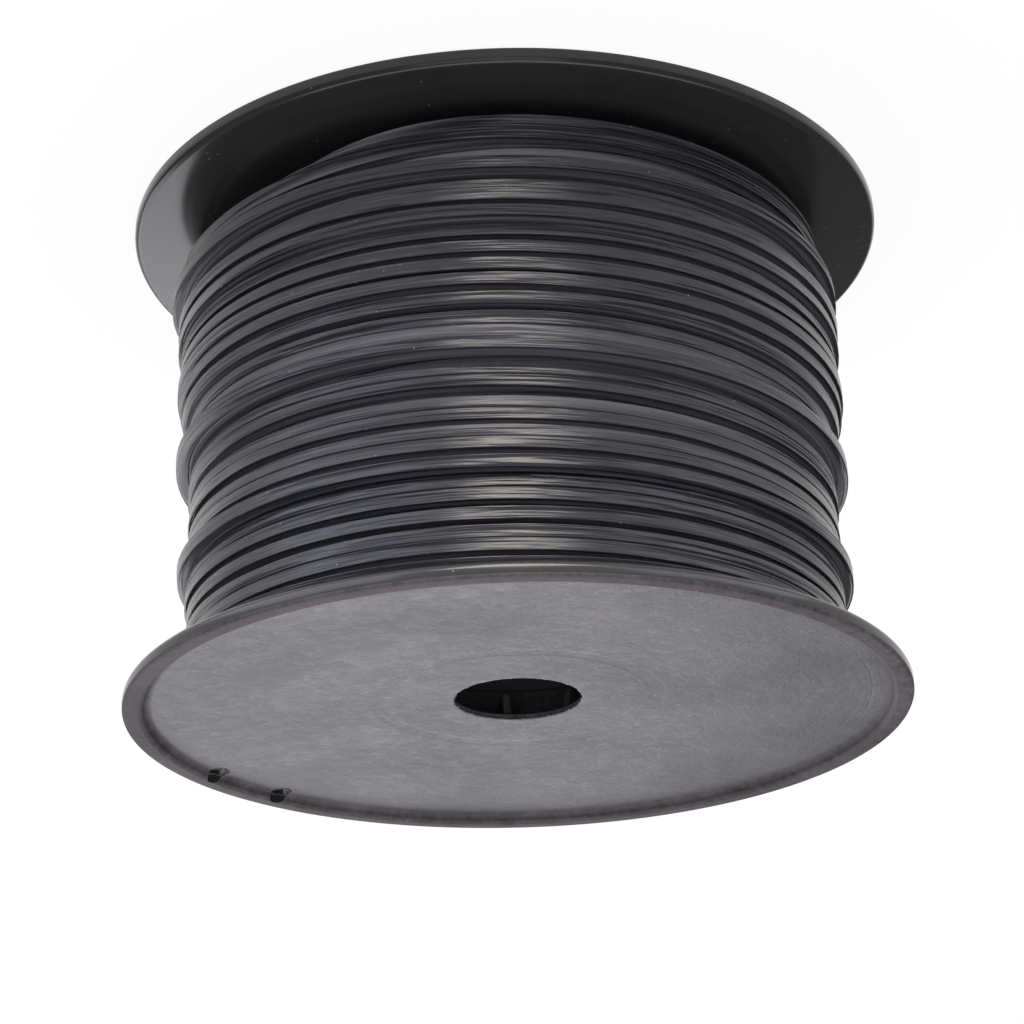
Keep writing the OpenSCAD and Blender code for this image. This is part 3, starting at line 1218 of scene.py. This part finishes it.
@dataclass
class Studio:
    """Pale floor, soft lamps and the camera.

    Attributes:
        look_angle: How far the camera stands round the spool, in degrees.
        tilt: How far it looks down, in radians.
        twist: How far it is turned about its own X, Y and Z, in radians.
        distance: How far it stands from the spool's middle.
        focal_px: Its focal length in pixels of a frame that is frame_px wide.
        middle: Height that the camera and the lamps aim at.
        dim_ceiling: How much light the ceiling loses in reflections.
        ceiling: Heights, as parts of a direction, between which it gets dimmer.
        soft_light: Strength of the light that falls on matt surfaces.
    """

    look_angle: float = -37.0
    tilt: float = 0.408
    twist: tuple[float, float, float] = (-0.0141, 0.00027, 3.16997)
    distance: float = 7.375 * 82.5 * MM
    focal_px: float = 2799.0
    frame_px: float = 1024.0
    sensor: float = 36.0
    middle: float = 56.2 * MM
    dim_ceiling: float = 0.85
    ceiling: Span = (-0.06, 0.08)
    soft_light: float = 0.6

    def camera(self) -> None:
        """Places the camera."""
        pos = Vector((0, -self.distance * math.cos(self.tilt), self.distance * math.sin(self.tilt)))
        ahead = Vector((0, math.cos(self.tilt), -math.sin(self.tilt)))
        right = Vector((1, 0, 0))
        turn = Matrix((right, right.cross(ahead), -ahead))
        for axis, angle in zip("XYZ", self.twist):
            turn = Matrix.Rotation(angle, 3, axis) @ turn
        about = Matrix.Rotation(math.radians(self.look_angle), 3, "Z")
        data = bpy.data.cameras.new("camera")
        data.lens = self.focal_px / self.frame_px * self.sensor
        data.sensor_width = self.sensor
        data.clip_start = 10 * MM
        eye = bpy.data.objects.new("camera", data)
        place = Matrix.Translation(about @ pos + Vector((0, 0, self.middle)))
        eye.matrix_world = place @ (about @ turn.transposed()).to_4x4()
        bpy.context.scene.collection.objects.link(eye)
        bpy.context.scene.camera = eye

    def hang(self, lamp: Lamp) -> None:
        """Hangs one lamp and aims it."""
        across, towards, height = lamp.at
        around = Matrix.Rotation(math.radians(self.look_angle), 3, "Z")
        at = around @ Vector((across, -towards, 0)) + Vector((0, 0, height))
        up = Vector((0, 0, 1))
        aim = at + up if lamp.upward else self.middle * up
        data = bpy.data.lights.new(lamp.name, "AREA")
        data.shape = "RECTANGLE"
        data.size, data.size_y = lamp.size
        data.energy = lamp.power
        data.color = lamp.tint
        body = bpy.data.objects.new(lamp.name, data)
        body.location = at
        body.rotation_euler = (aim - at).to_track_quat("-Z", "Y").to_euler()
        body.visible_camera = False
        bpy.context.scene.collection.objects.link(body)

    def world(self) -> None:
        """Surrounds the stage with plain white, with a dimmer ceiling in reflections."""
        g = Graph(bpy.data.worlds.new("studio"))
        seen, mirrored = g.ray("Camera"), g.ray("Glossy", "Transmission")
        way = Wire(g, g.coords.outputs["Generated"])
        height = g.node("ShaderNodeSeparateXYZ", {}, {0: way}, "Z")
        dim = 1 - self.dim_ceiling * height.band(*self.ceiling)
        unseen = mirrored * dim + (1 - mirrored) * self.soft_light
        inputs = {"Color": WHITE, "Strength": seen + (1 - seen) * unseen}
        light = g.node("ShaderNodeBackground", {}, inputs)
        bpy.context.scene.world = g.finish(light, "ShaderNodeOutputWorld")

    def build(self) -> None:
        """Lays the floor, hangs the lamps and places the camera."""
        Bench.clear()
        bpy.ops.mesh.primitive_plane_add(size=6, location=(0, 0, 0))
        floor = Bench.named("floor")
        floor.data.materials.append(PaleFloor().make())
        self.world()
        for lamp in LAMPS:
            self.hang(lamp)
        self.camera()
        bpy.context.scene.view_settings.view_transform = "Standard"


def main() -> None:
    """Builds the spool and its studio, and reports each piece."""
    logging.basicConfig(level=logging.INFO, format="%(name)s: %(message)s")
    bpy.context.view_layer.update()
    face, back = MouldedFace().make(), MouldedBack().make()
    winding = Winding(CordInsulation().make(), CopperStrand().make())
    lower = Flange("lower_flange", 3.4 * MM, -1, face, back).build()
    upper = Flange("upper_flange", 109.0 * MM, 1, face, back).build()
    barrel = Barrel(MouldedBack("moulded_barrel", tone=0.09, gloss=0.35).make()).build()
    pieces = [
        (lower, "bottom_flange", "flange_moulding"),
        (upper, "top_flange", "flange_moulding"),
        (barrel, "barrel", "barrel_moulding"),
        (winding.core(), "inner_layers", "cord_insulation"),
        (winding.under(), "inner_layers", "cord_insulation"),
        (winding.outer(), "outer_layer", "cord_insulation"),
        (winding.cut_end(), "cut_end", "cord_insulation"),
        (winding.strands(), "copper_cores", "copper"),
    ]
    for piece, node, slot in pieces:
        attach(piece, "root")
        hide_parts(node)
        log.info("%s: %d faces", piece.name, len(piece.data.polygons))
    Studio().build()


if __name__ == "__main__":
    main()
